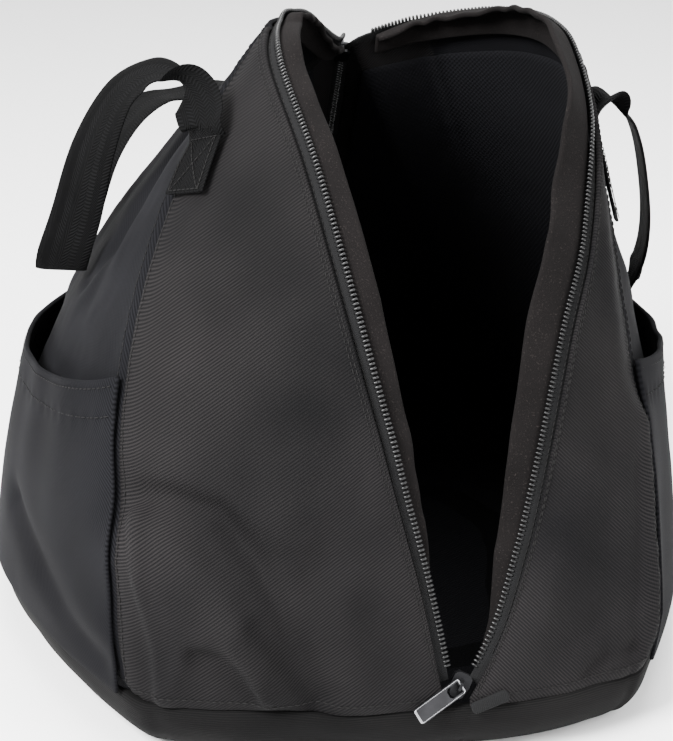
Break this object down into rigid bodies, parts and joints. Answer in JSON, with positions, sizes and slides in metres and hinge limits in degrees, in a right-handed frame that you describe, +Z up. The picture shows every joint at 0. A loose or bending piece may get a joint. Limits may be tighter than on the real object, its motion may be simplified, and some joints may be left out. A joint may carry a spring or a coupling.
{
  "type": "helmet carry bag",
  "caption": "Soft padded carry bag for a full-face helmet, standing open: dished base, two tall sides, a long zip over the top, side pockets and two webbing handles.",
  "frame": {"origin": "middle of the flat face the base rests on", "axes": "+Z up, -Y to the front where the zip starts, -X to the left half as seen from the front"},
  "size_m": [0.3462, 0.3659, 0.294],
  "materials": {
    "shell_cloth": "matt twill",
    "lining_cloth": "matt fine weave",
    "zip_tape": "matt ribbed tape",
    "zip_teeth": "satin moulded",
    "webbing": "matt ribbed webbing",
    "zip_metal": "dark plated, satin"
  },
  "bodies": {
    "bag": {"base_panel": "shell_cloth", "front_panel_left": "shell_cloth", "side_panel_left": "shell_cloth", "back_panel_left": "shell_cloth", "pocket_left": "shell_cloth", "zip_guard_left": "shell_cloth", "front_panel_right": "shell_cloth", "side_panel_right": "shell_cloth", "back_panel_right": "shell_cloth", "pocket_right": "shell_cloth", "zip_guard_right": "shell_cloth", "lining_left": "lining_cloth", "lining_right": "lining_cloth", "zip_tape_left": "zip_tape", "zip_tape_right": "zip_tape", "zip_end_tab": "zip_tape", "zip_teeth_left": "zip_teeth", "zip_teeth_right": "zip_teeth", "zip_teeth_back": "zip_teeth", "handle_left": "webbing", "handle_right": "webbing", "front_slider": "zip_metal", "rear_slider": "zip_metal"},
    "front_pull": {"front_pull": "zip_metal"},
    "rear_pull": {"rear_pull": "zip_metal"}
  },
  "joints": [
    {"name": "front_pull_swing", "type": "hinge", "parent": "bag", "child": "front_pull", "pos_m": [0.02277, -0.18022, 0.03617], "axis": [-0.487, 0.3419, 0.8037], "range_deg": [0, 110]},
    {"name": "rear_pull_swing", "type": "hinge", "parent": "bag", "child": "rear_pull", "pos_m": [0.01184, 0.092, 0.25917], "axis": [0.988, -0.1259, -0.0898], "range_deg": [0, 120]}
  ]
}
